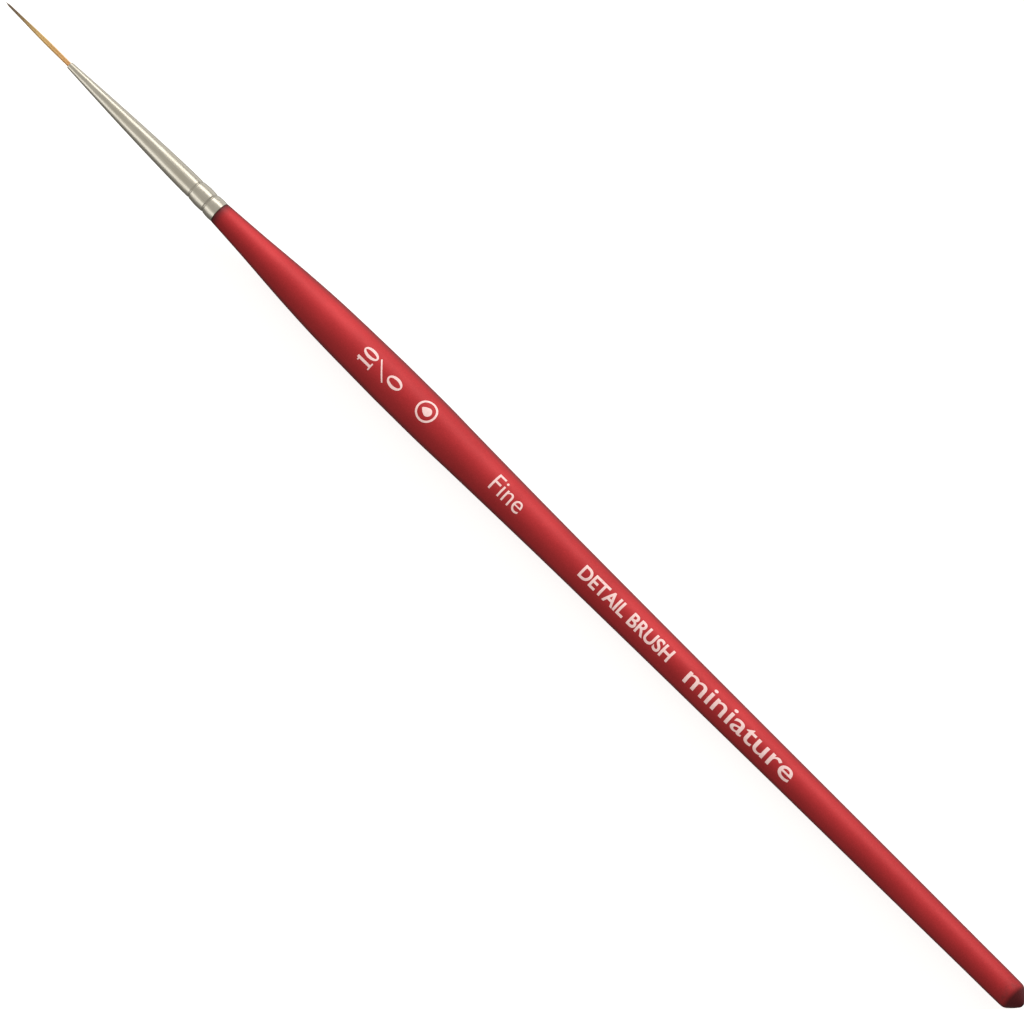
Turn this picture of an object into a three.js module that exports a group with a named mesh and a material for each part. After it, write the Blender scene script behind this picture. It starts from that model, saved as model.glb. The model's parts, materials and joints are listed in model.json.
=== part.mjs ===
// Fine detail brush: a round, pointed liner with a turned wooden handle, a seamless metal
// ferrule and a bound bundle of synthetic filaments. Millimetres.
//
// The brush is built along its own axis. A station is a distance along that axis, counted from
// the ferrule's rear rim: negative towards the hair's point, positive towards the butt.
// It then lies level on its belly, with the point at -X and the butt at +X.

import * as THREE from 'three';

// Lengths along the axis
const hairLength = 12.2;
const ferruleLength = 28.2;
const handleLength = 149.6;

// Handle, over its coat
const handleLip = 0.03;
const bellyRadius = 3.15;
const bellyStation = 32.5;
const bellyLength = 6;
const buttRadius = 2.0;
const buttShoulderRound = 1.3;
const buttConeAngle = Math.PI / 4;
const buttNoseRound = 0.8;
const buttFlatRadius = 0.3;
const coatThickness = 0.12;
const tenonLength = 9;

// Ferrule
const ferruleWall = 0.15;
const ferruleRearRadius = 1.54;
const taperEndStation = -5.6;
const taperEndRadius = 1.44;
const taperBow = 1.4;
const frontGrooveStation = -4.5;
const rearGrooveStation = -1.85;
const grooveDepth = 0.07;
const beadHeight = 0.065;

// Hair
const filamentRadius = 0.0425;
const filamentGap = 0.005;
const filamentRings = 3;
const rootLength = 8;
const rootNeck = 0.1;
const bendPivotReach = 0.4;
const ringSetback = 0.2;
const tipStagger = 0.05;

// Shape of the hair, as shares: of the bundle's width for the spreads, of a filament's
// thickness for its tip, and of the way from the mouth to the point for the rest
const bellySwell = 0.11;
const bellyEnd = 0.7;
const pointSpread = 0.42;
const closingStart = 0.25;
const closingBow = 1.3;
const filamentTip = 0.45;
const filamentTaperStart = 0.6;
const filamentTaperBow = 1.2;

// Binding thread and adhesives
const threadRadius = 0.05;
const threadTurns = 7;
const threadPitch = 0.12;
const threadSetback = 5.2;
const plugFrontSetback = 1.2;
const plugRearSetback = 9.5;
const tenonGlueThickness = 0.08;
const tenonGlueSetback = 0.8;

// Clearances
const slipClearance = 0.01;
const seatClearance = 0.05;

// Facets
const turnedSides = 20;
const filamentSides = 6;
const threadSides = 6;
const threadStepsPerTurn = 12;

// The ferrule's mouth fits the bundle, and the handle's front fits the ferrule's rear.
const facetFlat = Math.cos(Math.PI / turnedSides);
const mouthStation = -ferruleLength;
const filamentSpacing = 2 * filamentRadius + filamentGap;
const bundleRadius = filamentSpacing * filamentRings + filamentRadius / Math.cos(Math.PI / 6);
const bundleBore = bundleRadius / facetFlat + slipClearance;
const mouthRadius = bundleBore + ferruleWall;
const handleFrontRadius = ferruleRearRadius + handleLip;

// The butt is a rounded shoulder, a cone and a rounded nose with a small flat. The cone touches
// both rounds, so its distance from the axis settles how long the butt is.
const coneReach = (buttRadius - buttShoulderRound) * Math.cos(buttConeAngle) + buttShoulderRound;
const noseCentre = (coneReach - buttNoseRound) / Math.sin(buttConeAngle);
const buttLength = noseCentre + Math.sqrt(buttNoseRound ** 2 - buttFlatRadius ** 2);
const buttStation = handleLength - buttLength;

const materials = {
  coat: new THREE.MeshStandardMaterial({ color: 0xb3222f, roughness: 0.42, metalness: 0 }),
  wood: new THREE.MeshStandardMaterial({ color: 0xc9a679, roughness: 0.75, metalness: 0 }),
  nickel: new THREE.MeshStandardMaterial({ color: 0xd3d0c6, roughness: 0.2, metalness: 1 }),
  adhesive: new THREE.MeshStandardMaterial({ color: 0xc98f3c, roughness: 0.3, metalness: 0 }),
  thread: new THREE.MeshStandardMaterial({ color: 0xe8e2d2, roughness: 0.9, metalness: 0 }),
  hair: new THREE.MeshStandardMaterial({ color: 0xcf9a5e, roughness: 0.35, metalness: 0 }),
};

function namedMesh(name, geometry, material) {
  const mesh = new THREE.Mesh(geometry, material);
  mesh.name = name;
  return mesh;
}

// Turns an outline of [station, radius] points about the brush's axis, which is +Y here. A facet,
// not an edge, faces down, so the belly has a flat to lie on.
function turned(name, outline, material) {
  const points = outline.map(([station, radius]) => new THREE.Vector2(radius, station));
  const geometry = new THREE.LatheGeometry(points, turnedSides, Math.PI / turnedSides);
  return namedMesh(name, geometry, material);
}

// Moves an outline inward, towards the axis, by the same amount everywhere.
function inset(outline, depth) {
  return outline.map(([station, radius]) => [station, radius - depth]);
}

// A smooth outline from one [station, radius] point to another. The shape is given as shares of
// the way along and of the change in radius.
function easedOutline(start, end, shares, pieces) {
  const stops = [[0, 0], ...shares, [1, 1]].map(
    ([along, across]) => new THREE.Vector2(
      start[0] + (end[0] - start[0]) * along,
      start[1] + (end[1] - start[1]) * across,
    ),
  );
  return new THREE.SplineCurve(stops).getPoints(pieces).map((point) => [point.x, point.y]);
}

// Handle, from the front shoulder to the butt. An offset of zero gives the outside of the coat.
function handleSide(offset) {
  const swellShares = [[0.2, 0.265], [0.4, 0.585], [0.6, 0.825], [0.8, 0.935]];
  const thinningShares = [[0.19, 0.36], [0.37, 0.555], [0.6, 0.73], [0.8, 0.85]];
  const front = [seatClearance, handleFrontRadius];
  const bellyFront = [bellyStation, bellyRadius];
  const bellyRear = [bellyStation + bellyLength, bellyRadius];
  const butt = [buttStation, buttRadius];
  const swell = easedOutline(front, bellyFront, swellShares, 10);
  const thinning = easedOutline(bellyRear, butt, thinningShares, 12);
  return inset([...swell, ...thinning.slice(0, -1)], offset);
}

// A round stretch of outline about a centre. Angles are from straight out to straight back.
function roundOutline(centreStation, centreRadius, round, fromAngle, toAngle, pieces) {
  const outline = [];
  for (let i = 0; i <= pieces; i += 1) {
    const angle = fromAngle + (toAngle - fromAngle) * (i / pieces);
    outline.push([centreStation + round * Math.sin(angle), centreRadius + round * Math.cos(angle)]);
  }
  return outline;
}

function buttEnd(offset) {
  const shoulderRound = buttShoulderRound - offset;
  const noseRound = buttNoseRound - offset;
  const noseStation = buttStation + noseCentre;
  const flatAngle = Math.acos(buttFlatRadius / buttNoseRound);
  const shoulder = roundOutline(
    buttStation, buttRadius - buttShoulderRound, shoulderRound, 0, buttConeAngle, 3,
  );
  const nose = roundOutline(noseStation, 0, noseRound, buttConeAngle, flatAngle, 2);
  return [...shoulder, ...nose, [noseStation + noseRound * Math.sin(flatAngle), 0]];
}

// Ferrule, outside. The tapered front is one shallow curve, and the crimped rear has two
// rolled grooves with a raised bead behind each.
function ferruleTaper(station) {
  const share = (station - mouthStation) / (taperEndStation - mouthStation);
  const growth = 1 - (1 - share) ** taperBow;
  return mouthRadius + (taperEndRadius - mouthRadius) * growth;
}

function taperOutline(from, to, pieces) {
  const outline = [];
  for (let i = 0; i <= pieces; i += 1) {
    const station = from + (to - from) * (i / pieces);
    outline.push([station, ferruleTaper(station)]);
  }
  return outline;
}

// The crimps rise and fall about a straight line from the taper's end to the rear rim.
function crimpStop(station, rise) {
  const share = station / taperEndStation;
  const line = ferruleRearRadius + (taperEndRadius - ferruleRearRadius) * share;
  return new THREE.Vector2(station, line + rise);
}

function crimpOutline() {
  const stops = [
    crimpStop(taperEndStation, 0),
    crimpStop(frontGrooveStation, -grooveDepth),
    crimpStop((frontGrooveStation + rearGrooveStation) / 2, beadHeight),
    crimpStop(rearGrooveStation, -grooveDepth),
    crimpStop(rearGrooveStation / 2, beadHeight),
    crimpStop(0, 0),
  ];
  return new THREE.SplineCurve(stops).getPoints(15).map((point) => [point.x, point.y]);
}

function ferrule() {
  const outside = [...taperOutline(mouthStation, taperEndStation, 9).slice(0, -1), ...crimpOutline()];
  const inside = inset(outside, ferruleWall).reverse();
  return turned('ferrule', [...outside, ...inside, outside[0]], materials.nickel);
}

// The wood inside the ferrule follows its bore, crimps included. The depth is counted from the
// ferrule's outside.
function tenonSide(depth, frontStation) {
  const tapered = taperOutline(frontStation, taperEndStation, 2).slice(0, -1);
  return inset([...tapered, ...crimpOutline()], depth);
}

function handleCore() {
  const underCoat = coatThickness + slipClearance;
  const tenonDepth = ferruleWall + tenonGlueThickness + 2 * slipClearance;
  const tenon = tenonSide(tenonDepth, -tenonLength);
  const shoulder = handleSide(underCoat);
  const outline = [
    [-tenonLength, 0],
    ...tenon,
    [seatClearance, ferruleRearRadius - tenonDepth],
    ...shoulder,
    ...buttEnd(underCoat),
  ];
  return turned('handle_core', outline, materials.wood);
}

function handleCoat() {
  const outside = [...handleSide(0), ...buttEnd(0)];
  const inside = [...handleSide(coatThickness), ...buttEnd(coatThickness)].reverse();
  return turned('handle_coat', [...inside, ...outside], materials.coat);
}

// The glue stays clear of both ends of the tenon.
function tenonAdhesive() {
  const outerDepth = ferruleWall + slipClearance;
  const outside = tenonSide(outerDepth, tenonGlueSetback - tenonLength)
    .filter(([station]) => station <= -tenonGlueSetback);
  const inside = inset(outside, tenonGlueThickness).reverse();
  return turned('tenon_adhesive', [...outside, ...inside, outside[0]], materials.adhesive);
}

// Six-sided outline of the fused bundle, corners in line with the corner filaments. It stands a
// little proud of the ferrule's mouth.
function hairRootBundle() {
  const front = mouthStation - rootNeck;
  const rear = mouthStation + rootLength;
  const points = [
    new THREE.Vector2(0, front),
    new THREE.Vector2(bundleRadius, front),
    new THREE.Vector2(bundleRadius, rear),
    new THREE.Vector2(0, rear),
  ];
  const geometry = new THREE.LatheGeometry(points, 6, Math.PI / 2);
  return namedMesh('hair_root_bundle', geometry, materials.hair);
}

class Helix extends THREE.Curve {
  constructor(radius, pitch, turns, start) {
    super();
    Object.assign(this, { radius, pitch, turns, start });
  }

  getPoint(share, target = new THREE.Vector3()) {
    const angle = 2 * Math.PI * this.turns * share;
    const height = this.start + this.pitch * this.turns * share;
    return target.set(this.radius * Math.cos(angle), height, this.radius * Math.sin(angle));
  }
}

// Thread wound round the bundle behind the mouth, side by side.
function bindingThread() {
  const windingRadius = bundleRadius + threadRadius + slipClearance;
  const start = mouthStation + threadSetback;
  const path = new Helix(windingRadius, threadPitch, threadTurns, start);
  const corners = [];
  for (let i = 0; i < threadSides; i += 1) {
    const angle = 2 * Math.PI * (i / threadSides);
    corners.push(new THREE.Vector2(threadRadius * Math.cos(angle), threadRadius * Math.sin(angle)));
  }
  const geometry = new THREE.ExtrudeGeometry(new THREE.Shape(corners), {
    steps: threadTurns * threadStepsPerTurn,
    extrudePath: path,
  });
  return namedMesh('binding_thread', geometry, materials.thread);
}

// The plug fills the ferrule behind its mouth. Its bore holds the bundle, and widens over the
// thread and behind it.
function rootAdhesivePlug() {
  const front = mouthStation + plugFrontSetback;
  const rear = mouthStation + plugRearSetback;
  const threadFront = mouthStation + threadSetback - 2 * threadRadius;
  const threadPocket = bundleBore + 2 * threadRadius + 2 * slipClearance;
  const outside = inset(taperOutline(front, rear, 4), ferruleWall + slipClearance);
  const bore = [
    [rear, threadPocket],
    [threadFront, threadPocket],
    [threadFront, bundleBore],
    [front, bundleBore],
  ];
  return turned('root_adhesive_plug', [...outside, ...bore, outside[0]], materials.adhesive);
}

// How far the bundle has spread, at a share of the way from the mouth to the point. It swells a
// little past the mouth and then closes to a point.
function bundleSpread(share) {
  const swell = bellySwell * Math.sin(Math.PI * Math.min(share / bellyEnd, 1));
  const closed = Math.max(0, (share - closingStart) / (1 - closingStart)) ** closingBow;
  return (1 + swell) * (1 - (1 - pointSpread) * closed);
}

// One filament: a thin turned needle whose centre line follows the bundle's spread.
function filament(name, x, z, ring, stagger) {
  const start = mouthStation - bendPivotReach;
  const free = hairLength - bendPivotReach - ringSetback * ring - stagger;
  const outline = [new THREE.Vector2(0, start - free)];
  const pieces = 8;
  for (let i = pieces; i >= 0; i -= 1) {
    const share = i / pieces;
    const tapered = Math.max(0, (share - filamentTaperStart) / (1 - filamentTaperStart));
    const taper = 1 - (1 - filamentTip) * tapered ** filamentTaperBow;
    const crowding = Math.min(1, bundleSpread(share * (free / hairLength)));
    outline.push(new THREE.Vector2(filamentRadius * taper * crowding, start - free * share));
  }
  outline.push(new THREE.Vector2(0, start));
  const geometry = new THREE.LatheGeometry(outline, filamentSides, 0);
  const position = geometry.attributes.position;
  for (let i = 0; i < position.count; i += 1) {
    const spread = bundleSpread((start - position.getY(i)) / hairLength);
    position.setX(i, position.getX(i) + x * spread);
    position.setZ(i, position.getZ(i) + z * spread);
  }
  return namedMesh(name, geometry, materials.hair);
}

// Filaments packed like a honeycomb: one in the middle and three rings round it. Their tips
// step back ring by ring, with a small stagger inside each ring.
function filaments() {
  const ringNames = ['core', 'inner', 'middle', 'outer'];
  const found = ringNames.map(() => []);
  for (let row = -filamentRings; row <= filamentRings; row += 1) {
    for (let place = -filamentRings; place <= filamentRings; place += 1) {
      const ring = Math.max(Math.abs(row), Math.abs(place), Math.abs(row + place));
      if (ring > filamentRings) continue;
      const x = filamentSpacing * (place + row / 2);
      const z = filamentSpacing * row * Math.sqrt(3 / 4);
      found[ring].push([x, z]);
    }
  }
  const meshes = [];
  found.forEach((spots, ring) => {
    spots.sort((a, b) => Math.atan2(a[1], a[0]) - Math.atan2(b[1], b[0]));
    spots.forEach(([x, z], index) => {
      const number = String(index + 1).padStart(2, '0');
      const name = ring === 0 ? 'filament_core' : `filament_${ringNames[ring]}_${number}`;
      const stagger = ring === 0 ? 0 : tipStagger * ((index * 2) % 5);
      meshes.push(filament(name, x, z, ring, stagger));
    });
  });
  return meshes;
}

const alongAxis = new THREE.Group();
alongAxis.add(
  handleCore(),
  handleCoat(),
  ferrule(),
  tenonAdhesive(),
  rootAdhesivePlug(),
  bindingThread(),
  hairRootBundle(),
  ...filaments(),
);
alongAxis.rotation.z = -Math.PI / 2;
alongAxis.position.set(
  (ferruleLength + hairLength - handleLength) / 2,
  0,
  bellyRadius * facetFlat,
);

const brush = new THREE.Group();
brush.add(alongAxis);

export default brush;
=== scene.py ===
# Looks of a fine detail brush: a turned wooden handle under a satin pearl lacquer, a drawn and
# crimped metal ferrule, and a bound and glued bundle of tapered synthetic filaments. Metres.
# The brush lies on its belly with its point at -X and its butt at +X.

import json
import math

import bmesh
import bpy
import numpy as np
from mathutils import Matrix, Vector


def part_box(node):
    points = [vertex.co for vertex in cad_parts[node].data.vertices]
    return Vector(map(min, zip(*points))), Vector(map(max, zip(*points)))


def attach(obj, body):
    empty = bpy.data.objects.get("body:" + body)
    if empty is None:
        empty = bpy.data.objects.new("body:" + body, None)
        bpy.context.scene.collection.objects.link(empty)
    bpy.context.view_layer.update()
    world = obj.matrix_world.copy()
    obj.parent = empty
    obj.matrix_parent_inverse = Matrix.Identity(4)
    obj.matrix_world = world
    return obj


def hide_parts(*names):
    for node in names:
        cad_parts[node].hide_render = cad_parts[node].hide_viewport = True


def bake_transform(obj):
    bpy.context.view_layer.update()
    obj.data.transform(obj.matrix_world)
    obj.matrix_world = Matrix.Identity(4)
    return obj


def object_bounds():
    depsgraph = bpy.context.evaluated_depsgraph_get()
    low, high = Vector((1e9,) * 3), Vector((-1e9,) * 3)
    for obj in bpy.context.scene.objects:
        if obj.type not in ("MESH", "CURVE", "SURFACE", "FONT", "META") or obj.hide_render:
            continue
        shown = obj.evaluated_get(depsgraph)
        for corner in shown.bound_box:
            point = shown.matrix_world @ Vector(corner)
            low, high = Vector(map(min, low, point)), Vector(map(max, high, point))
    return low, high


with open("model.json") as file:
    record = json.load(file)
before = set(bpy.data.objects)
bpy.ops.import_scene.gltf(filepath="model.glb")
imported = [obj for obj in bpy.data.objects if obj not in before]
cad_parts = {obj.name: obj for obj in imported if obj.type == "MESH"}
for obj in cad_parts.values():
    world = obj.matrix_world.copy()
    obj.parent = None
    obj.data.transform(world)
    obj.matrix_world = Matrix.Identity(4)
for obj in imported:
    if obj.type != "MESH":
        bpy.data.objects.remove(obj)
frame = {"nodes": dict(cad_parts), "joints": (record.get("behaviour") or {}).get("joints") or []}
cad_low, cad_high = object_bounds()
mm = 0.001


# ------------------------------------------------------------------------------ handle core
# A turned hardwood blank with a tenon at its front, which the ferrule is glued and crimped on.
# It is sanded and sealed, and the lacquer and the ferrule hide all of it. The CAD node stays.

def new_material(name):
    """A material with its Principled shader, ready for its nodes."""
    material = bpy.data.materials.new(name)
    material.use_nodes = True
    return material, material.node_tree, material.node_tree.nodes["Principled BSDF"]


def add_node(tree, kind, settings=None, **values):
    """A node with its properties set, and its input sockets by name."""
    made = tree.nodes.new(kind)
    for key, value in (settings or {}).items():
        setattr(made, key, value)
    for key, value in values.items():
        made.inputs[key.replace("_", " ")].default_value = value
    return made


def mix_tones(tree, share, first, second):
    """Mixes two colours by a share. Each is a socket or a plain colour."""
    mixer = add_node(tree, "ShaderNodeMix", {"data_type": "RGBA", "clamp_factor": True})
    for place, value in ((0, share), (6, first), (7, second)):
        if isinstance(value, bpy.types.NodeSocket):
            tree.links.new(value, mixer.inputs[place])
        else:
            mixer.inputs[place].default_value = value
    return mixer.outputs[2]


def remap(tree, value, low, high, new_low, new_high):
    """Stretches a value from one range to another, clamped."""
    ranged = add_node(tree, "ShaderNodeMapRange")
    tree.links.new(value, ranged.inputs[0])
    for place, number in enumerate((low, high, new_low, new_high), 1):
        ranged.inputs[place].default_value = number
    return ranged.outputs[0]


def raise_surface(tree, shader, height, strength, distance, under=None):
    """Raises a material's surface by a height, over the relief under it."""
    relief = add_node(tree, "ShaderNodeBump", Strength=strength, Distance=distance)
    tree.links.new(height, relief.inputs["Height"])
    tree.links.new(relief.outputs[0], shader.inputs["Normal"])
    if under:
        tree.links.new(under.outputs[0], relief.inputs["Normal"])
    return relief


def new_group(name, numbers, colours, outputs):
    """A node group with number and colour inputs, and its outputs: colours end in Tone."""
    group = bpy.data.node_groups.new(name, "ShaderNodeTree")
    for label, value in (*numbers.items(), *colours.items()):
        kind = "NodeSocketColor" if label in colours else "NodeSocketFloat"
        made = group.interface.new_socket(label, in_out="INPUT", socket_type=kind)
        made.default_value = value
    for label in outputs:
        kind = "NodeSocketColor" if label.endswith("Tone") else "NodeSocketFloat"
        group.interface.new_socket(label, in_out="OUTPUT", socket_type=kind)
    return group, group.nodes.new("NodeGroupInput"), group.nodes.new("NodeGroupOutput")


def stretched_place(tree, stretch):
    """Object coordinates drawn out along the brush by a share, a number or a socket."""
    place = add_node(tree, "ShaderNodeTexCoord")
    scale = add_node(tree, "ShaderNodeCombineXYZ", X=1.0, Y=1.0, Z=1.0)
    if isinstance(stretch, bpy.types.NodeSocket):
        tree.links.new(stretch, scale.inputs["X"])
    else:
        scale.inputs["X"].default_value = stretch
    scaled = add_node(tree, "ShaderNodeVectorMath", {"operation": "MULTIPLY"})
    tree.links.new(place.outputs["Object"], scaled.inputs[0])
    tree.links.new(scale.outputs[0], scaled.inputs[1])
    return scaled.outputs[0]


# Lengthwise lines: grain in wood, drawing marks in metal, fibres in thread.
lines_group, lines_in, lines_out = new_group(
    "lengthwise_lines",
    {"Lines per Metre": 2500.0, "Draw": 0.03},
    {"Light Tone": (0.8, 0.8, 0.8, 1), "Dark Tone": (0.5, 0.5, 0.5, 1)},
    ("Tone", "Line"),
)
drawn_place = stretched_place(lines_group, lines_in.outputs["Draw"])
fine_lines = add_node(lines_group, "ShaderNodeTexNoise", Detail=3.0, Roughness=0.6)
lines_group.links.new(drawn_place, fine_lines.inputs["Vector"])
lines_group.links.new(lines_in.outputs["Lines per Metre"], fine_lines.inputs["Scale"])
line_share = remap(lines_group, fine_lines.outputs[0], 0.3, 0.7, 0.0, 1.0)
lines_group.links.new(line_share, lines_out.inputs["Line"])
lines_group.links.new(
    mix_tones(lines_group, line_share, lines_in.outputs["Dark Tone"], lines_in.outputs["Light Tone"]),
    lines_out.inputs["Tone"],
)

wood_material, wood_tree, wood_shader = new_material("turned_hardwood")
wood_grain = add_node(
    wood_tree, "ShaderNodeGroup", {"node_tree": lines_group}, Lines_per_Metre=1600, Draw=0.06,
    Light_Tone=(0.66, 0.45, 0.25, 1), Dark_Tone=(0.43, 0.25, 0.12, 1),
)
wood_tree.links.new(wood_grain.outputs["Tone"], wood_shader.inputs["Base Color"])
wood_tree.links.new(
    remap(wood_tree, wood_grain.outputs["Line"], 0, 1, 0.72, 0.55), wood_shader.inputs["Roughness"]
)
raise_surface(wood_tree, wood_shader, wood_grain.outputs["Line"], 0.6, 0.02 * mm)
frame["nodes"]["handle_core"].data.materials.clear()
frame["nodes"]["handle_core"].data.materials.append(wood_material)


# ---------------------------------------------------------------------------- handle lacquer
# Several dips of red pearl lacquer over the wood, the last one satin and soft to the touch.
# It ends in a rounded lip at the ferrule's rim. Painted shade darkens it by the rim, on the butt's
# cone and at its edges.

coat_lip_round = 0.045 * mm
coat_sides = 128
coat_shoulder_back = 2.1 * mm
coat_shoulder_rub = 0.5 * mm
coat_nose_rub = 0.35 * mm
coat_lip_rub = 0.15 * mm
# Painted shade: its reach behind the lip, and the span where it fades off the butt's cone.
coat_lip_shade = 0.7 * mm
coat_shaded_cone = (1.3 * mm, 1.9 * mm)
coat_light_red = (0.62, 0.024, 0.033, 1)
coat_deep_red = (0.52, 0.014, 0.022, 1)
# The dark red of the painted shade.
coat_shade_red = (0.10, 0.008, 0.014, 1)
coat_flake_red = (0.80, 0.045, 0.054, 1)
coat_rubbed_red = (0.33, 0.028, 0.034, 1)

coat_low, coat_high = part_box("handle_coat")
axis_height = (coat_low.z + coat_high.z) / 2
facet_flat = axis_height / max(
    math.hypot(v.co.y, v.co.z - axis_height) for v in frame["nodes"]["handle_coat"].data.vertices
)


def node_rings(node):
    """Station and radius of every ring of a turned CAD node, from point to butt."""
    found = []
    for vert in frame["nodes"][node].data.vertices:
        ring = (vert.co.x, math.hypot(vert.co.y, vert.co.z - axis_height))
        if not any(math.dist(ring, known) < 0.004 * mm for known in found):
            found.append(ring)
    return sorted((round(x, 6), r) for x, r in found)


def smooth_outline(stops, pieces):
    """One curve through the stops, by its chord length, with a number of pieces between each."""
    stops = np.array(stops, float)
    steps = np.linalg.norm(np.diff(stops, axis=0), axis=1)
    slopes = np.diff(stops, axis=0) / steps[:, None]
    inner = slopes[:-1] * steps[1:, None] + slopes[1:] * steps[:-1, None]
    leans = np.vstack([slopes[:1], inner / (steps[:-1] + steps[1:])[:, None], slopes[-1:]])
    # No lean is over three times the gentler slope beside it, so the curve never bulges.
    gentler = np.minimum(abs(slopes[:-1]), abs(slopes[1:])) * (slopes[:-1] * slopes[1:] > 0)
    leans[1:-1] = np.clip(leans[1:-1], -3 * gentler, 3 * gentler)
    outline = []
    for i, step in enumerate(steps):
        for share in np.arange(pieces) / pieces:
            near = 2 * share**3 - 3 * share**2 + 1
            leaving = share**3 - 2 * share**2 + share
            arriving = share**3 - share**2
            outline.append(
                near * stops[i] + (1 - near) * stops[i + 1]
                + step * (leaving * leans[i] + arriving * leans[i + 1])
            )
    return [tuple(point) for point in outline] + [tuple(stops[-1])]


def turned_shape(outline, sides, closed):
    """Spins an outline of stations and radii about the brush's axis into a clean bmesh."""
    shape = bmesh.new()
    verts = [shape.verts.new((station, 0, axis_height + radius)) for station, radius in outline]
    edges = [shape.edges.new(pair) for pair in zip(verts, verts[1:])]
    if closed:
        edges.append(shape.edges.new((verts[-1], verts[0])))
    bmesh.ops.spin(
        shape, geom=verts + edges, cent=(0, 0, axis_height), axis=(1, 0, 0),
        angle=2 * math.pi, steps=sides, use_merge=True,
    )
    bmesh.ops.remove_doubles(shape, verts=shape.verts, dist=1e-8)
    bmesh.ops.recalc_face_normals(shape, faces=shape.faces)
    return shape


def round_ring(shape, station, radius, size, segments=3):
    """Rounds the sharp corner that runs round the axis at a station and a radius."""
    def on_ring(vert):
        across = math.hypot(vert.co.y, vert.co.z - axis_height)
        return abs(vert.co.x - station) < 2e-7 and abs(across - radius) < 2e-7

    ring = [edge for edge in shape.edges if all(on_ring(vert) for vert in edge.verts)]
    bmesh.ops.bevel(
        shape, geom=ring, offset=size, segments=segments, profile=0.5, affect="EDGES", material=-1
    )


def finished_piece(name, shape, material, smooth=True):
    """Makes a shape an object with its material, shaded smooth."""
    mesh = bpy.data.meshes.new(name)
    shape.to_mesh(mesh)
    shape.free()
    for face in mesh.polygons:
        face.use_smooth = smooth
    mesh.materials.append(material)
    piece = bpy.data.objects.new(name, mesh)
    bpy.context.scene.collection.objects.link(piece)
    return piece


def fading(distance, reach):
    """One at no distance, fading to nothing over a few reaches."""
    return math.exp(-((distance / reach) ** 2))


# Blotches: uneven colour in lacquer, glue, ink and hair.
blotch_group, blotch_in, blotch_out = new_group(
    "blotches",
    {"Blotches per Metre": 120.0, "Draw": 1.0},
    {"Light Tone": (0.8, 0.8, 0.8, 1), "Dark Tone": (0.5, 0.5, 0.5, 1)},
    ("Tone", "Blotch"),
)
blotch_noise = add_node(blotch_group, "ShaderNodeTexNoise", Detail=4.0, Roughness=0.55)
blotch_group.links.new(
    stretched_place(blotch_group, blotch_in.outputs["Draw"]), blotch_noise.inputs["Vector"]
)
blotch_group.links.new(blotch_in.outputs["Blotches per Metre"], blotch_noise.inputs["Scale"])
blotch_share = remap(blotch_group, blotch_noise.outputs[0], 0.3, 0.7, 0.0, 1.0)
blotch_group.links.new(blotch_share, blotch_out.inputs["Blotch"])
blotch_group.links.new(
    mix_tones(
        blotch_group, blotch_share, blotch_in.outputs["Dark Tone"], blotch_in.outputs["Light Tone"]
    ),
    blotch_out.inputs["Tone"],
)

coat_material, coat_tree, coat_shader = new_material("red_pearl_lacquer")
coat_blotches = add_node(
    coat_tree, "ShaderNodeGroup", {"node_tree": blotch_group}, Blotches_per_Metre=160, Draw=0.5,
    Light_Tone=coat_light_red, Dark_Tone=coat_deep_red,
)
# Pearl flakes, each a few hundredths of a millimetre across.
flakes = add_node(coat_tree, "ShaderNodeTexVoronoi", Scale=16000.0)
flake_place = add_node(coat_tree, "ShaderNodeTexCoord")
coat_tree.links.new(flake_place.outputs["Object"], flakes.inputs["Vector"])
flake_glint = remap(coat_tree, flakes.outputs["Color"], 0.55, 1.0, 0.0, 0.55)
coat_tone = mix_tones(coat_tree, flake_glint, coat_blotches.outputs["Tone"], coat_flake_red)
# Rubbed places, where a hand or a jar has dulled the high edges.
rub = add_node(coat_tree, "ShaderNodeAttribute", {"attribute_name": "rub"})
rub_patches = add_node(
    coat_tree, "ShaderNodeGroup", {"node_tree": blotch_group}, Blotches_per_Metre=1500
)
rub_share = add_node(coat_tree, "ShaderNodeMath", {"operation": "MULTIPLY"})
coat_tree.links.new(rub.outputs["Fac"], rub_share.inputs[0])
coat_tree.links.new(rub_patches.outputs["Blotch"], rub_share.inputs[1])
coat_tone = mix_tones(coat_tree, rub_share.outputs[0], coat_tone, coat_rubbed_red)
# Painted shade: darker where the lacquer is seen edge on, by the ferrule's rim and on the butt's
# cone.
coat_facing = add_node(coat_tree, "ShaderNodeLayerWeight", Blend=0.5)
coat_edge_shade = remap(coat_tree, coat_facing.outputs["Facing"], 0.40, 0.88, 0, 0.88)
coat_tone = mix_tones(coat_tree, coat_edge_shade, coat_tone, coat_shade_red)
coat_painted_shade = add_node(coat_tree, "ShaderNodeAttribute", {"attribute_name": "painted_shade"})
coat_tone = mix_tones(coat_tree, coat_painted_shade.outputs["Fac"], coat_tone, coat_shade_red)
coat_tree.links.new(coat_tone, coat_shader.inputs["Base Color"])
coat_dull = add_node(coat_tree, "ShaderNodeMath", {"operation": "MULTIPLY_ADD"})
coat_tree.links.new(rub_share.outputs[0], coat_dull.inputs[0])
coat_dull.inputs[1].default_value = 0.14
coat_tree.links.new(
    remap(coat_tree, coat_blotches.outputs["Blotch"], 0, 1, 0.74, 0.68), coat_dull.inputs[2]
)
coat_tree.links.new(coat_dull.outputs[0], coat_shader.inputs["Roughness"])
coat_shader.inputs["Metallic"].default_value = 0.5
coat_shader.inputs["Specular IOR Level"].default_value = 0.5
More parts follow.
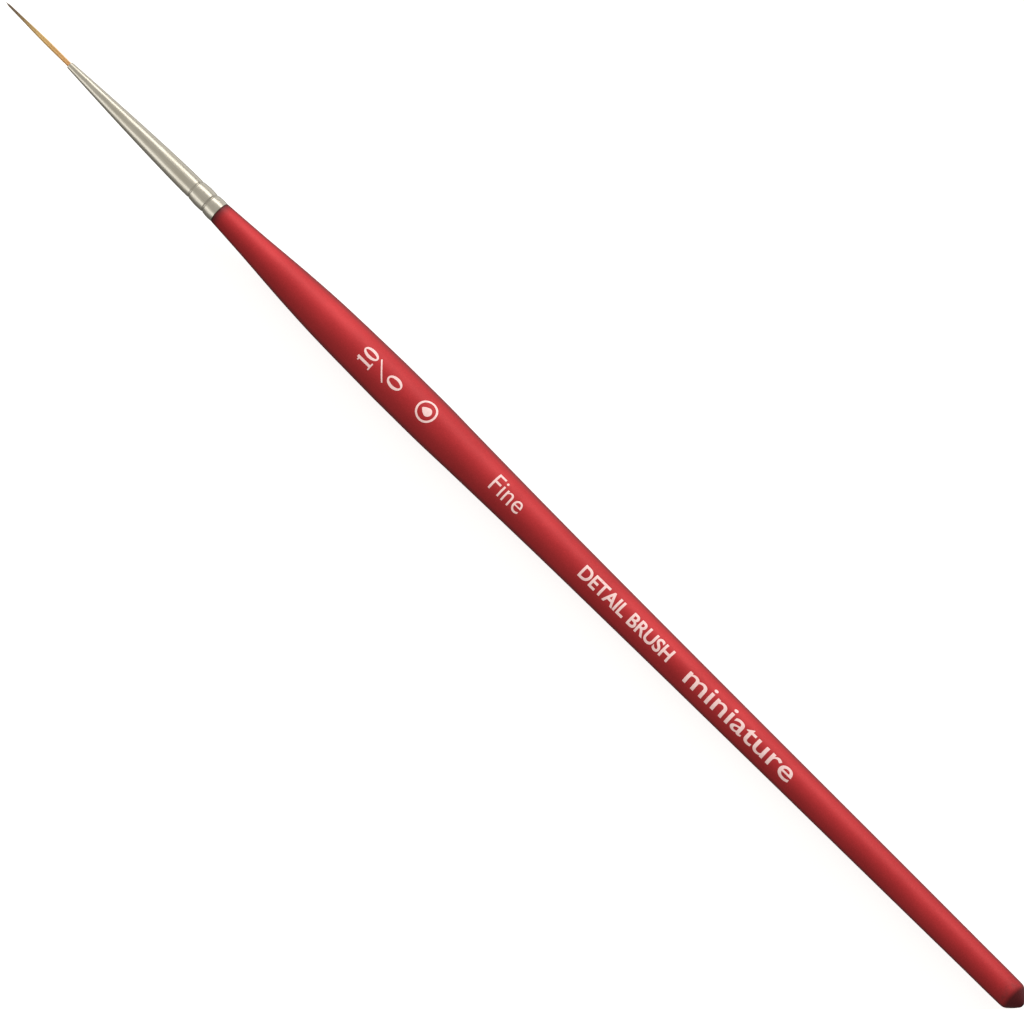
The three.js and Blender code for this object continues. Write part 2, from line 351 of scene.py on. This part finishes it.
# The last dip is a thin satin one, clear over the pearl.
coat_shader.inputs["Coat Weight"].default_value = 0.4
coat_shader.inputs["Coat Roughness"].default_value = 0.54
coat_waves = add_node(coat_tree, "ShaderNodeTexNoise", Scale=900.0, Detail=2.0)
coat_grit = add_node(coat_tree, "ShaderNodeTexNoise", Scale=9000.0, Detail=2.0)
for texture in (coat_waves, coat_grit):
    coat_tree.links.new(flake_place.outputs["Object"], texture.inputs["Vector"])
wave_relief = raise_surface(coat_tree, coat_shader, coat_waves.outputs[0], 0.5, 0.008 * mm)
raise_surface(coat_tree, coat_shader, coat_grit.outputs[0], 0.5, 0.003 * mm, under=wave_relief)


def wider_beyond(ring, rings, way):
    """Whether another ring is at least as wide, and as far to the butt (1) or the point (-1)."""
    return any(
        (other[0] - ring[0]) * way >= 0 and other[1] >= ring[1] and other != ring for other in rings
    )


# The outside rings have nothing wider beyond them, to one end or the other.
coat_rings = node_rings("handle_coat")
coat_outside = [
    ring for ring in coat_rings
    if not wider_beyond(ring, coat_rings, 1) or not wider_beyond(ring, coat_rings, -1)
]
coat_inside = [ring for ring in coat_rings if ring not in coat_outside]
coat_outside = smooth_outline([(x, r * facet_flat) for x, r in coat_outside], 5)
coat_outside = [(x, min(r, axis_height)) for x, r in coat_outside]
coat_inside.sort(key=lambda ring: (ring[0], -ring[1]))
coat = turned_shape(coat_inside[::-1] + coat_outside, coat_sides, closed=False)
round_ring(coat, *coat_outside[0], coat_lip_round)
rub_layer = coat.verts.layers.float.new("rub")
coat_shade_layer = coat.verts.layers.float.new("painted_shade")
for vert in coat.verts:
    from_butt = coat_high.x - vert.co.x
    from_lip = vert.co.x - coat_low.x
    shoulder = 0.7 * fading(from_butt - coat_shoulder_back, coat_shoulder_rub)
    vert[rub_layer] = min(
        1.0, shoulder + fading(from_butt, coat_nose_rub) + fading(from_lip, coat_lip_rub)
    )
    # Painted shade by the ferrule's rim and on the butt's cone, which faces away from the lamps.
    on_cone = float(np.interp(from_butt, coat_shaded_cone, (1, 0)))
    vert[coat_shade_layer] = 0.85 * max(fading(from_lip, coat_lip_shade), on_cone)
coat_piece = finished_piece("lacquer_coat", coat, coat_material)
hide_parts("handle_coat")
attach(coat_piece, "brush")


# --------------------------------------------------------------------------------- adhesives
# Cured amber epoxy: a film between tenon and ferrule, and a plug that locks the hair's roots
# in the ferrule's front. Both are hidden when the brush is whole. The CAD nodes stay.

glue_material, glue_tree, glue_shader = new_material("cured_epoxy")
glue_blotches = add_node(
    glue_tree, "ShaderNodeGroup", {"node_tree": blotch_group}, Blotches_per_Metre=1400,
    Light_Tone=(0.72, 0.42, 0.13, 1), Dark_Tone=(0.50, 0.25, 0.06, 1),
)
glue_tree.links.new(glue_blotches.outputs["Tone"], glue_shader.inputs["Base Color"])
glue_tree.links.new(
    remap(glue_tree, glue_blotches.outputs["Blotch"], 0, 1, 0.18, 0.34),
    glue_shader.inputs["Roughness"],
)
raise_surface(glue_tree, glue_shader, glue_blotches.outputs["Blotch"], 0.5, 0.02 * mm)
for name in ("tenon_adhesive", "root_adhesive_plug"):
    frame["nodes"][name].data.materials.clear()
    frame["nodes"][name].data.materials.append(glue_material)


# ----------------------------------------------------------------------------------- ferrule
# One seamless brass tube, drawn to a taper, nickel plated and lightly brushed by the drawing.
# Two rollers crimp it on the tenon: each leaves a sharp groove with a soft bead behind it.

ferrule_sides = 96
ferrule_edge_round = 0.04 * mm
groove_width = 0.14 * mm
groove_fill = 0.55
groove_extra_depth = 0.015 * mm
# Painted shade at the rim: how far it reaches.
rim_shade_reach = 0.06 * mm
nickel_light = (0.78, 0.75, 0.67, 1)
nickel_dark = (0.62, 0.59, 0.52, 1)
nickel_stain = (0.66, 0.61, 0.50, 1)
# The dark of the painted shade in the grooves and at the rim.
nickel_shade = (0.26, 0.23, 0.19, 1)

nickel_material, nickel_tree, nickel_shader = new_material("nickel_plated_brass")
drawing_marks = add_node(
    nickel_tree, "ShaderNodeGroup", {"node_tree": lines_group}, Lines_per_Metre=9000, Draw=0.012,
    Light_Tone=nickel_light, Dark_Tone=nickel_dark,
)
nickel_stains = add_node(
    nickel_tree, "ShaderNodeGroup", {"node_tree": blotch_group}, Blotches_per_Metre=420, Draw=0.4
)
stain_share = remap(nickel_tree, nickel_stains.outputs["Blotch"], 0.5, 1, 0, 0.35)
nickel_tone = mix_tones(nickel_tree, stain_share, drawing_marks.outputs["Tone"], nickel_stain)
# Painted shade darkens the grooves and the rim, where the ferrule meets the lacquer.
painted_shade = add_node(nickel_tree, "ShaderNodeAttribute", {"attribute_name": "painted_shade"})
nickel_tone = mix_tones(nickel_tree, painted_shade.outputs["Fac"], nickel_tone, nickel_shade)
nickel_tree.links.new(nickel_tone, nickel_shader.inputs["Base Color"])
nickel_shader.inputs["Metallic"].default_value = 1.0
nickel_tree.links.new(
    remap(nickel_tree, nickel_stains.outputs["Blotch"], 0, 1, 0.30, 0.37),
    nickel_shader.inputs["Roughness"],
)
raise_surface(nickel_tree, nickel_shader, drawing_marks.outputs["Line"], 0.5, 0.004 * mm)

ferrule_low, ferrule_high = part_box("ferrule")
ferrule_rings = {}
for x, r in node_rings("ferrule"):
    ferrule_rings.setdefault(x, []).append(r)
ferrule_outside = [(x, max(radii) * facet_flat) for x, radii in sorted(ferrule_rings.items())]
ferrule_inside = [(x, min(radii)) for x, radii in sorted(ferrule_rings.items())]
ferrule_triples = list(zip(ferrule_outside, ferrule_outside[1:], ferrule_outside[2:]))
grooves = [
    here[0] for before, here, after in ferrule_triples
    if here[1] < before[1] and here[1] < after[1]
]


def groove_share(station):
    """How deep in a crimp's groove a station is, from 0 on the open wall to 1 at the bottom."""
    return max(fading(station - groove, groove_width) for groove in grooves)


# Between the grooves the wall stands nearly straight from bead to bead.
beads = [
    here for before, here, after in ferrule_triples
    if here[1] > before[1] and here[1] >= after[1]
]
straight = np.array([*beads[-3:], ferrule_outside[-1]])
ferrule_outside = smooth_outline(ferrule_outside, 12)
for i, (x, r) in enumerate(ferrule_outside):
    if x > straight[0, 0]:
        wall = float(np.interp(x, straight[:, 0], straight[:, 1]))
        r += groove_fill * max(0.0, wall - r) * (1 - groove_share(x))
    ferrule_outside[i] = (x, r - groove_extra_depth * groove_share(x))
ferrule = turned_shape(ferrule_outside + ferrule_inside[::-1], ferrule_sides, closed=True)
for wall_face in (ferrule_outside, ferrule_inside):
    for ring in (wall_face[0], wall_face[-1]):
        round_ring(ferrule, *ring, ferrule_edge_round)
ferrule_shade_layer = ferrule.verts.layers.float.new("painted_shade")
# Painted shade: darker in the grooves and at the rim.
for vert in ferrule.verts:
    at_rim = fading(ferrule_high.x - vert.co.x, rim_shade_reach)
    vert[ferrule_shade_layer] = min(1.0, 0.3 * groove_share(vert.co.x) ** 2 + 0.8 * at_rim)
ferrule_piece = finished_piece("ferrule_shell", ferrule, nickel_material)
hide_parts("ferrule")
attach(ferrule_piece, "brush")


# ---------------------------------------------------------------------------- binding thread
# Waxed cotton thread wound round the hair's roots, side by side, before the bundle is glued.
# It is hidden inside the ferrule. The CAD node stays.

thread_material, thread_tree, thread_shader = new_material("waxed_cotton")
thread_fibres = add_node(
    thread_tree, "ShaderNodeGroup", {"node_tree": lines_group}, Lines_per_Metre=60000, Draw=0.4,
    Light_Tone=(0.80, 0.76, 0.64, 1), Dark_Tone=(0.52, 0.46, 0.34, 1),
)
thread_tree.links.new(thread_fibres.outputs["Tone"], thread_shader.inputs["Base Color"])
thread_tree.links.new(
    remap(thread_tree, thread_fibres.outputs["Line"], 0, 1, 0.85, 0.6),
    thread_shader.inputs["Roughness"],
)
raise_surface(thread_tree, thread_shader, thread_fibres.outputs["Line"], 0.8, 0.008 * mm)
frame["nodes"]["binding_thread"].data.materials.clear()
frame["nodes"]["binding_thread"].data.materials.append(thread_material)


# -------------------------------------------------------------------------------------- hair
# Tapered synthetic filaments, packed like a honeycomb and set back ring by ring to a point.
# Each runs from 2 mm inside the ferrule to its tip. Behind that their roots are one glued
# bundle. The ferrule holds the roots still, and the free hair bends at the mouth.

hair_sides = 8
hair_root_depth = 2.0 * mm
hair_root_gap = 0.02 * mm
hair_steps = 44
hair_root_tone = (0.70, 0.39, 0.15, 1)
hair_golden_tone = (0.71, 0.49, 0.20, 1)
hair_tip_tone = (0.20, 0.135, 0.080, 1)
bend_reach = 0.4 * mm
bend_step = 0.07 * mm

mouth = ferrule_low.x
pivot = Vector(next(j for j in frame["joints"] if j["name"] == "tuft_bend")["pos_m"])
hair_names = sorted(name for name in frame["nodes"] if name.startswith("filament_"))

hair_material, hair_tree, hair_shader = new_material("golden_filament")
reach = add_node(hair_tree, "ShaderNodeAttribute", {"attribute_name": "reach"})
own_tone = add_node(hair_tree, "ShaderNodeAttribute", {"attribute_name": "own_tone"})
hair_blotches = add_node(
    hair_tree, "ShaderNodeGroup", {"node_tree": blotch_group}, Blotches_per_Metre=2200, Draw=0.25,
    Light_Tone=hair_golden_tone, Dark_Tone=(0.63, 0.41, 0.15, 1),
)
near_root = remap(hair_tree, reach.outputs["Fac"], 0, 0.42, 1, 0)
near_tip = remap(hair_tree, reach.outputs["Fac"], 0.46, 0.84, 0, 1)
hair_tone = mix_tones(hair_tree, near_root, hair_blotches.outputs["Tone"], hair_root_tone)
hair_tone = mix_tones(hair_tree, near_tip, hair_tone, hair_tip_tone)
shaded = add_node(hair_tree, "ShaderNodeHueSaturation")
hair_tree.links.new(hair_tone, shaded.inputs["Color"])
hair_tree.links.new(
    remap(hair_tree, own_tone.outputs["Fac"], 0, 1, 0.78, 1.18), shaded.inputs["Value"]
)
hair_tree.links.new(shaded.outputs[0], hair_shader.inputs["Base Color"])
# Painted light: the filaments glow faintly in their own colour, standing in for light that passes
# through them.
hair_tree.links.new(shaded.outputs[0], hair_shader.inputs["Emission Color"])
hair_shader.inputs["Emission Strength"].default_value = 0.2
hair_tree.links.new(
    remap(hair_tree, hair_blotches.outputs["Blotch"], 0, 1, 0.28, 0.42),
    hair_shader.inputs["Roughness"],
)
hair_lines = add_node(
    hair_tree, "ShaderNodeGroup", {"node_tree": lines_group}, Lines_per_Metre=60000, Draw=0.05
)
raise_surface(hair_tree, hair_shader, hair_lines.outputs["Line"], 0.4, 0.002 * mm)


def hair_line(name):
    """Stations, radii and centres of a CAD filament's rings, from its tip to its root."""
    rings = {}
    for vert in frame["nodes"][name].data.vertices:
        rings.setdefault(round(vert.co.x, 7), set()).add(tuple(round(c, 9) for c in vert.co))
    found = []
    for station, corners in sorted(rings.items()):
        middle = sum((Vector(corner) for corner in corners), Vector()) / len(corners)
        if len(corners) > 1:
            radius = max((Vector(corner) - middle).length for corner in corners)
            found.append((station, radius, middle.y, middle.z))
    return np.array(found)


def hair_shape(name, start, stop, steps, more_stations=()):
    """One filament between two stations, turned on the axis and then moved to its own line."""
    curve = np.array(smooth_outline(hair_line(name), 6))
    stations = np.unique(np.concatenate([np.linspace(start, stop, steps), more_stations]))
    radii = np.interp(stations, curve[:, 0], curve[:, 1])
    outline = [(start, 0.0), *zip(stations, radii), (stop, 0.0)]
    shape = turned_shape(outline, hair_sides, closed=False)
    for vert in shape.verts:
        vert.co.y += np.interp(vert.co.x, curve[:, 0], curve[:, 2])
        vert.co.z += np.interp(vert.co.x, curve[:, 0], curve[:, 3]) - axis_height
    return shape


def hair_layers(shape, tone):
    """Writes how far along the free hair each point is, and the filament's own shade."""
    reach_layer = shape.verts.layers.float.new("reach")
    tone_layer = shape.verts.layers.float.new("own_tone")
    for vert in shape.verts:
        vert[reach_layer] = min(1.0, max(0.0, (mouth - vert.co.x) / (mouth - cad_low.x)))
        vert[tone_layer] = tone


hair_random = np.random.default_rng(37)
bend_half = bend_reach + bend_step
bend_stations = np.arange(pivot.x - bend_half, pivot.x + bend_half, bend_step)
root_meshes = bmesh.new()
roots_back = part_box("hair_root_bundle")[1].x
for name in hair_names:
    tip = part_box(name)[0].x
    tone = float(hair_random.random())
    shape = hair_shape(name, tip, mouth + hair_root_depth, hair_steps, bend_stations)
    hair_layers(shape, tone)
    piece = finished_piece(name.replace("filament", "hair"), shape, hair_material)
    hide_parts(name)
    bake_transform(piece)
    root = hair_shape(name, mouth + hair_root_depth + hair_root_gap, roots_back, 4)
    hair_layers(root, tone)
    loose = bpy.data.meshes.new("root")
    root.to_mesh(loose)
    root.free()
    root_meshes.from_mesh(loose)
    bpy.data.meshes.remove(loose)
roots_piece = finished_piece("hair_roots", root_meshes, hair_material)
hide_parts("hair_root_bundle")
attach(roots_piece, "brush")


# -------------------------------------------------------------------------------------- print
# White pad-printed ink on the lacquer, a hundredth of a millimetre thick: the size number set
# across the handle, a plain drop-in-a-ring mark, and plain words that describe the brush.

ink_height = 0.012 * mm
ink_sunk = 0.004 * mm
ink_strip_length = 0.6 * mm
ink_strip_width = 0.16 * mm
ink_material, ink_tree, ink_shader = new_material("white_pad_print")
ink_blotches = add_node(
    ink_tree, "ShaderNodeGroup", {"node_tree": blotch_group}, Blotches_per_Metre=2600,
    Light_Tone=(0.96, 0.72, 0.71, 1), Dark_Tone=(0.91, 0.60, 0.60, 1),
)
ink_tree.links.new(ink_blotches.outputs["Tone"], ink_shader.inputs["Base Color"])
# Painted light: the ink glows faintly in its own colour.
ink_tree.links.new(ink_blotches.outputs["Tone"], ink_shader.inputs["Emission Color"])
ink_shader.inputs["Emission Strength"].default_value = 0.2
ink_tree.links.new(
    remap(ink_tree, ink_blotches.outputs["Blotch"], 0, 1, 0.62, 0.45), ink_shader.inputs["Roughness"]
)
raise_surface(ink_tree, ink_shader, ink_blotches.outputs["Blotch"], 0.5, 0.003 * mm)
coat_stations, coat_radii = np.array(coat_outside).T


def text_shape(words, weight):
    """Flat letters as a bmesh, in the built-in face, made heavier or lighter."""
    letters = bpy.data.curves.new("letters", "FONT")
    letters.body = words
    letters.offset = weight
    letters.resolution_u = 5
    holder = bpy.data.objects.new("letters", letters)
    bpy.context.scene.collection.objects.link(holder)
    bpy.context.view_layer.update()
    drawn = holder.evaluated_get(bpy.context.evaluated_depsgraph_get())
    flat = bpy.data.meshes.new_from_object(drawn)
    shape = bmesh.new()
    shape.from_mesh(flat)
    bpy.data.objects.remove(holder)
    bpy.data.curves.remove(letters)
    bpy.data.meshes.remove(flat)
    bmesh.ops.remove_doubles(shape, verts=shape.verts, dist=1e-5)
    return shape


def fit_flat(shape, width, height, turned=0.0):
    """Centres a flat shape and stretches it to a width and a height, then turns it."""
    low = Vector([min(v.co[k] for v in shape.verts) for k in range(3)])
    high = Vector([max(v.co[k] for v in shape.verts) for k in range(3)])
    scale = Matrix.Diagonal((width / (high.x - low.x), height / (high.y - low.y), 1, 1))
    place = Matrix.Rotation(turned, 4, "Z") @ scale @ Matrix.Translation(-(low + high) / 2)
    bmesh.ops.transform(shape, matrix=place, verts=shape.verts)


def print_on_coat(name, shape, centre, off_top):
    """Cuts a flat shape into narrow strips, gives it the ink's thickness and wraps it on."""
    low = [min(v.co[k] for v in shape.verts) for k in range(2)]
    high = [max(v.co[k] for v in shape.verts) for k in range(2)]
    for k, step in ((0, ink_strip_length), (1, ink_strip_width)):
        normal = Vector((1 - k, k, 0))
        for cut in np.arange(low[k] + step, high[k], step):
            everything = shape.verts[:] + shape.edges[:] + shape.faces[:]
            bmesh.ops.bisect_plane(
                shape, geom=everything, dist=1e-9, plane_co=normal * cut, plane_no=normal
            )
    bmesh.ops.triangulate(shape, faces=shape.faces)
    raised = bmesh.ops.extrude_face_region(shape, geom=shape.faces[:], use_keep_orig=True)
    tops = [part for part in raised["geom"] if isinstance(part, bmesh.types.BMVert)]
    bmesh.ops.translate(shape, vec=(0, 0, ink_height + ink_sunk), verts=tops)
    bmesh.ops.recalc_face_normals(shape, faces=shape.faces)
    for vert in shape.verts:
        station = centre + vert.co.x
        radius = float(np.interp(station, coat_stations, coat_radii))
        turn = (vert.co.y + off_top) / radius
        lift = radius - ink_sunk + vert.co.z
        vert.co = (station, lift * math.sin(turn), axis_height + lift * math.cos(turn))
    piece = finished_piece(name, shape, ink_material, smooth=False)
    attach(piece, "brush")


def nought_shape(width):
    """A slim nought, heavy at its sides and thin at its top and foot."""
    shape = bmesh.new()
    for inset in (0, 1):
        ring = bmesh.ops.create_circle(shape, cap_ends=False, segments=48, radius=0.5)["verts"]
        size = (width - inset * 2 * nought_side, digit_height - inset * 2 * nought_end, 1)
        bmesh.ops.scale(shape, vec=size, verts=ring)
    bmesh.ops.bridge_loops(shape, edges=shape.edges[:])
    return shape


def bar(shape, left, foot, width, height):
    """Adds a flat bar to a shape, by its lower left corner."""
    corner = Matrix.Translation((left + width / 2, foot + height / 2, 0))
    size = Matrix.Diagonal((width, height, 1, 1))
    bmesh.ops.create_grid(shape, x_segments=1, y_segments=1, size=0.5, matrix=corner @ size)


# The size number stands across the handle, its digits upright when the point is up. Its one is
# a stem with a flag and two feet. Every mark is placed by its distance behind the ferrule's rim.
digit_height = 2.36 * mm
slash_height = 3.1 * mm
stroke = 0.2 * mm
nought_side = 0.39 * mm
nought_end = 0.23 * mm
rim = ferrule_high.x
digits = nought_shape(1.36 * mm)
bmesh.ops.translate(digits, vec=(0.66 * mm, digit_height / 2, 0), verts=digits.verts)
bar(digits, -0.86 * mm, 0, 0.36 * mm, digit_height)
bar(digits, -1.14 * mm, digit_height - 0.42 * mm, 0.28 * mm, stroke)
for foot_left in (-1.20 * mm, -0.50 * mm):
    bar(digits, foot_left, 0, 0.34 * mm, stroke)
slash = bmesh.new()
bar(slash, 0, 0, stroke, slash_height)
for name, shape, width, height, lean, along, off_top in (
    ("print_size_10", digits, 2.56 * mm, digit_height, 0, 28.4 * mm, 0.25 * mm),
    ("print_size_slash", slash, stroke, slash_height, 45, 30.95 * mm, 0.2 * mm),
    ("print_size_0", nought_shape(1.62 * mm), 1.62 * mm, digit_height, 0, 33.35 * mm, 0.25 * mm),
):
    fit_flat(shape, width, height, math.radians(90 - lean))
    print_on_coat(name, shape, rim + along, off_top)

# A ring with a drop of paint in it, drawn out to its tip.
drop_radius = 0.62 * mm
mark = bmesh.new()
for radius in (1.52 * mm, 1.24 * mm):
    bmesh.ops.create_circle(mark, cap_ends=False, segments=56, radius=radius)
bmesh.ops.bridge_loops(mark, edges=mark.edges[:])
drop = bmesh.ops.create_circle(mark, cap_ends=True, segments=36, radius=drop_radius)["verts"]
for vert in drop:
    if vert.co.x < 0:
        vert.co.y *= max(0.0, 1 - abs(vert.co.x) / drop_radius) ** 0.35
        vert.co.x *= 1.55
bmesh.ops.translate(mark, vec=(0.16 * mm, 0, 0), verts=drop)
print_on_coat("print_mark", mark, rim + 39.0 * mm, 0.55 * mm)

# The words run along the handle, each with its size, its place and how heavy its letters are.
for name, words, width, height, along, off_top, weight in (
    ("print_word_fine", "Fine", 5.3, 2.5, 54.4, 0.35, -0.004),
    ("print_words_detail_brush", "DETAIL BRUSH", 16.5, 1.95, 76.6, 0.1, 0.022),
    ("print_word_miniature", "miniature", 19.4, 2.45, 97.7, 0.15, 0.006),
):
    letters = text_shape(words, weight)
    fit_flat(letters, width * mm, height * mm)
    print_on_coat(name, letters, rim + along * mm, off_top * mm)


# ---------------------------------------------------------------------- floor, light, camera
# A plain pale floor under soft strips of light, seen from above the belly.

floor_half = 30.0
strip_distance = 0.8
strip_length = 0.9
room_low_tone = (0.165, 0.16, 0.148, 1)
room_top_tone = (0.50, 0.48, 0.435, 1)
floor_glow_tone = (0.80, 0.78, 0.74, 1)
white = (1, 1, 1, 1)

floor_shape = bmesh.new()
bmesh.ops.create_grid(floor_shape, x_segments=1, y_segments=1, size=floor_half)
floor_material, floor_tree, floor_shader = new_material("pale_paper")
paper = add_node(
    floor_tree, "ShaderNodeGroup", {"node_tree": blotch_group}, Blotches_per_Metre=30,
    Light_Tone=(0.62, 0.62, 0.62, 1), Dark_Tone=(0.60, 0.60, 0.60, 1),
)
floor_tree.links.new(paper.outputs["Tone"], floor_shader.inputs["Base Color"])
floor_shader.inputs["Roughness"].default_value = 0.9
floor_shader.inputs["Emission Color"].default_value = white
floor_shader.inputs["Emission Strength"].default_value = 0.80
floor = finished_piece("floor", floor_shape, floor_material, smooth=False)
floor.visible_glossy = False
floor.visible_diffuse = False


def light_strip(name, radiance, tone, from_top, toward_point, width, link):
    """A soft strip along the brush: its angle from straight up toward +Y, and toward -X.

    A link of INCLUDE lights the ferrule alone, and EXCLUDE everything but the ferrule.
    """
    aim = Vector((0, 0, axis_height))
    turn, lean = math.radians(from_top), math.radians(toward_point)
    away = Vector((-math.sin(lean), math.cos(lean) * math.sin(turn), math.cos(lean) * math.cos(turn)))
    data = bpy.data.lights.new(name, "AREA")
    data.shape = "RECTANGLE"
    data.size, data.size_y = strip_length, width
    data.color = tone
    data.energy = radiance * math.pi * strip_length * width
    lamp = bpy.data.objects.new(name, data)
    along = Vector((1, 0, 0))
    along = (along - along.dot(away) * away).normalized()
    turned = Matrix((along, away.cross(along), away)).transposed().to_4x4()
    lamp.visible_camera = False
    lamp.matrix_world = Matrix.Translation(aim + away * strip_distance) @ turned
    bpy.context.scene.collection.objects.link(lamp)
    receivers = bpy.data.collections.new(name + "_lights")
    receivers.objects.link(ferrule_piece)
    receivers.collection_objects[0].light_linking.link_state = link
    lamp.light_linking.receiver_collection = receivers


light_strip("key_strip", 6.4, (1, 0.985, 0.95), 60, 22, 0.28, "EXCLUDE")
light_strip("metal_key_strip", 1.9, (1, 0.97, 0.92), 62, 22, 0.36, "INCLUDE")
light_strip("fill_strip", 0.95, (1, 0.99, 0.96), -62, 20, 0.42, "INCLUDE")

studio = bpy.data.worlds.new("studio")
studio.use_nodes = True
bpy.context.scene.world = studio
air = studio.node_tree
background = air.nodes["Background"]
toward = add_node(air, "ShaderNodeSeparateXYZ")
air.links.new(add_node(air, "ShaderNodeTexCoord").outputs["Generated"], toward.inputs[0])


def both(first, second):
    """The product of two shares of the room's directions."""
    product = add_node(air, "ShaderNodeMath", {"operation": "MULTIPLY"})
    air.links.new(first, product.inputs[0])
    air.links.new(second, product.inputs[1])
    return product.outputs[0]


# The room is bright overhead, and dim near the floor and behind the butt.
overhead = both(
    remap(air, toward.outputs["Z"], -0.4, 0.6, 0, 1),
    remap(air, toward.outputs["X"], 0.2, 0.9, 1, 0.1),
)
room_tone = mix_tones(air, overhead, room_low_tone, room_top_tone)
# The pale floor shines back from the lit side.
floor_glow = both(
    remap(air, toward.outputs["Y"], 0.2, 0.8, 0, 1),
    remap(air, toward.outputs["Z"], 0.05, -0.2, 0, 1),
)
room_tone = mix_tones(air, floor_glow, room_tone, floor_glow_tone)
seen = add_node(air, "ShaderNodeLightPath")
air.links.new(
    mix_tones(air, seen.outputs["Is Camera Ray"], room_tone, white), background.inputs["Color"]
)
bpy.context.scene.view_settings.view_transform = "Standard"

camera_lean = math.radians(14)
camera_turn = math.radians(44.63)
camera_distance = 4.402
camera_aim = Vector((0.401 * mm, -0.262 * mm, axis_height - 0.100 * mm))
back = Vector((math.sin(camera_lean), 0, math.cos(camera_lean)))
level = Vector((math.cos(camera_lean), 0, -math.sin(camera_lean)))
side = Vector((0, 1, 0))
right = math.cos(camera_turn) * level + math.sin(camera_turn) * side
up = math.cos(camera_turn) * side - math.sin(camera_turn) * level
camera_data = bpy.data.cameras.new("camera")
camera_data.lens = 1200
camera_data.clip_start, camera_data.clip_end = 0.1, 60
camera = bpy.data.objects.new("camera", camera_data)
camera.matrix_world = (
    Matrix.Translation(camera_aim + back * camera_distance)
    @ Matrix((right, up, back)).transposed().to_4x4()
)
bpy.context.scene.collection.objects.link(camera)
bpy.context.scene.camera = camera
